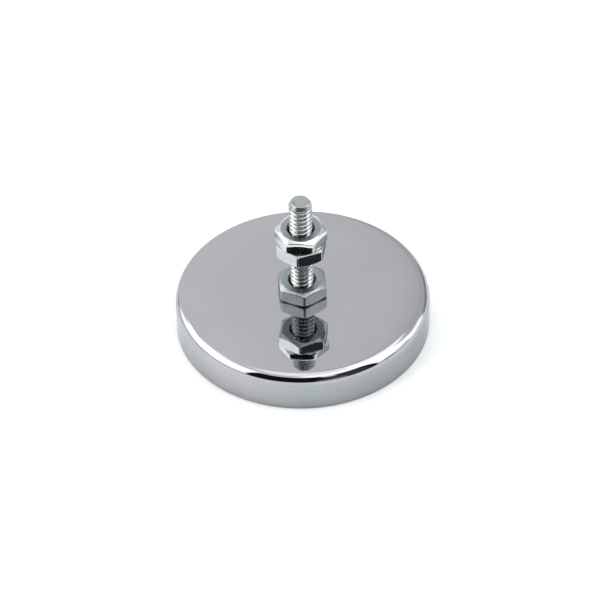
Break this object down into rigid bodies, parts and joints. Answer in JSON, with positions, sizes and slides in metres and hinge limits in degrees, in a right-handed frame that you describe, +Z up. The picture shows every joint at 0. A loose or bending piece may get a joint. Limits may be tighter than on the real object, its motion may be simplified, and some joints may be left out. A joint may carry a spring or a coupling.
{
  "type": "magnet fishing magnet",
  "caption": "Round steel-cup magnet with a ring magnet inside, a threaded bolt standing from its back, and hex nuts on the bolt.",
  "frame": {"origin": "centre of the magnetic face, on the plane that the cup's rim and the magnet rest on", "axes": "+Z runs up the bolt, away from the magnetic face; +X is to the right of the picture's view, and +Y points away from its viewer"},
  "size_m": [0.0518, 0.0518, 0.0326],
  "materials": {
    "chrome_plate": "polished",
    "zinc_plate": "satin",
    "ferrite": "matte",
    "potting_resin": "satin",
    "adhesive": "satin"
  },
  "bodies": {
    "magnet": {"steel_cup": "chrome_plate", "ring_magnet": "ferrite", "potting_ring": "potting_resin", "adhesive_bed": "adhesive"},
    "bolt": {"bolt": "zinc_plate"},
    "base_nut": {"base_nut": "zinc_plate"},
    "lower_jam_nut": {"lower_jam_nut": "zinc_plate"},
    "upper_jam_nut": {"upper_jam_nut": "zinc_plate"}
  },
  "joints": [
    {"name": "bolt_turn", "type": "hinge", "parent": "magnet", "child": "bolt", "pos_m": [0, 0, 0.0072], "axis": [0, 0, -1], "range_deg": [0, 810]},
    {"name": "base_nut_travel", "type": "slide", "parent": "magnet", "child": "base_nut", "axis": [0, 0, 1], "range_m": [0, 0.0024]},
    {"name": "lower_jam_nut_travel", "type": "slide", "parent": "bolt", "child": "lower_jam_nut", "axis": [0, 0, 1], "range_m": [-0.00423, 0]},
    {"name": "upper_jam_nut_travel", "type": "slide", "parent": "bolt", "child": "upper_jam_nut", "axis": [0, 0, 1], "range_m": [0, 0.00635]}
  ],
  "couplings": [
    {"joint": "base_nut_travel", "follows": "bolt_turn", "m_per_rad": 0.00016844}
  ]
}
